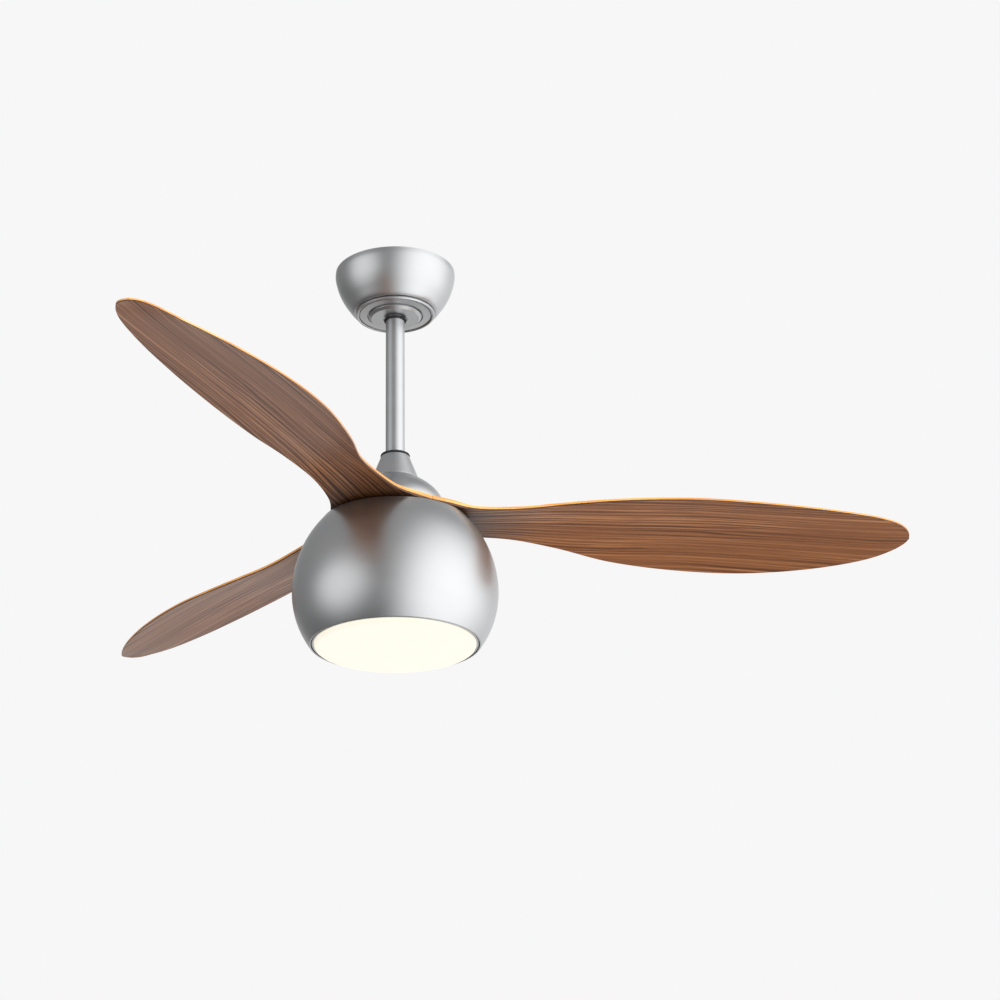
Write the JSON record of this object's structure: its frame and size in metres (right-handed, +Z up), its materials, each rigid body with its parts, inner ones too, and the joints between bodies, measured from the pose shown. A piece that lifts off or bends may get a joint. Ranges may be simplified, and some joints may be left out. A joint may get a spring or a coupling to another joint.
{
  "type": "ceiling fan with light",
  "caption": "Silver ceiling fan with a round globe body, wood propeller blades, a short downrod, a bowl canopy and a lit opal dish underneath.",
  "frame": {"origin": "centre of the hanger bracket's top face, where it meets the ceiling", "axes": "+Z up into the ceiling; the fan hangs along -Z; +X and +Y level, with one blade 5.45 degrees anticlockwise from +X seen from above"},
  "size_m": [1.0439, 1.1355, 0.514],
  "materials": {
    "silver_paint": "satin silver paint with fine metallic flake",
    "steel_sheet": "galvanised sheet",
    "zinc_hardware": "bright zinc plate",
    "dark_steel": "dark oxide steel",
    "copper_winding": "enamelled copper wire",
    "black_rubber": "matt black rubber",
    "wood_blade": "satin brown wood with fine lengthwise grain and pale amber edges",
    "opal_diffuser": "opal white, lit warm white",
    "white_plastic": "moulded white",
    "black_plastic": "moulded black",
    "led_board": "white solder mask"
  },
  "bodies": {
    "ceiling_mount": {"hanger_bracket": "steel_sheet", "canopy": "silver_paint", "canopy_trim": "silver_paint", "canopy_screw_1": "zinc_hardware", "canopy_screw_2": "zinc_hardware", "remote_receiver": "white_plastic", "receiver_plug": "white_plastic", "terminal_block": "black_plastic", "earth_screw": "zinc_hardware", "supply_lead": "black_plastic"},
    "ball": {"hanger_ball": "black_plastic"},
    "rod_assembly": {"downrod": "silver_paint", "cross_pin": "zinc_hardware", "rod_collar": "silver_paint", "rod_ring": "black_rubber", "yoke": "steel_sheet", "clevis_pin": "zinc_hardware", "cotter_pin": "zinc_hardware", "set_screw_1": "dark_steel", "set_screw_2": "dark_steel", "motor_shaft": "zinc_hardware", "stator_core": "dark_steel", "windings_upper": "copper_winding", "windings_lower": "copper_winding", "motor_leads": "black_plastic", "globe": "silver_paint", "globe_hanger": "steel_sheet", "globe_screw_1": "zinc_hardware", "globe_screw_2": "zinc_hardware", "globe_screw_3": "zinc_hardware", "shaft_nut": "zinc_hardware", "light_post_1": "zinc_hardware", "light_post_2": "zinc_hardware", "light_post_3": "zinc_hardware", "led_tray": "steel_sheet", "led_board": "led_board", "led_driver": "white_plastic"},
    "rotor": {"rotor_upper_shell": "silver_paint", "rotor_lower_shell": "silver_paint", "magnet_ring": "dark_steel", "bearing_upper": "zinc_hardware", "bearing_lower": "zinc_hardware", "blade_1": "wood_blade", "blade_2": "wood_blade", "blade_3": "wood_blade", "blade_screw_1": "zinc_hardware", "blade_screw_2": "zinc_hardware", "blade_screw_3": "zinc_hardware", "blade_screw_4": "zinc_hardware", "blade_screw_5": "zinc_hardware", "blade_screw_6": "zinc_hardware", "blade_cap": "silver_paint"},
    "sliding_cover": {"coupling_cover": "silver_paint", "coupling_ring": "black_rubber"},
    "light_cover": {"bezel_ring": "silver_paint", "diffuser": "opal_diffuser"}
  },
  "joints": [
    {"name": "ball_tilt_x", "type": "hinge", "parent": "ceiling_mount", "child": "ball", "pos_m": [0, 0, -0.029], "axis": [1, 0, 0], "range_deg": [-2.5, 2.5]},
    {"name": "rod_tilt_y", "type": "hinge", "parent": "ball", "child": "rod_assembly", "pos_m": [0, 0, -0.029], "axis": [0, 1, 0], "range_deg": [-2.5, 2.5]},
    {"name": "fan_spin", "type": "hinge", "parent": "rod_assembly", "child": "rotor", "pos_m": [0, 0, -0.346], "axis": [0, 0, 1], "continuous": true},
    {"name": "cover_lift", "type": "slide", "parent": "rod_assembly", "child": "sliding_cover", "axis": [0, 0, 1], "range_m": [0, 0.11]},
    {"name": "light_cover_twist", "type": "hinge", "parent": "rod_assembly", "child": "light_cover", "pos_m": [0, 0, -0.51], "axis": [0, 0, 1], "range_deg": [0, 18]}
  ]
}
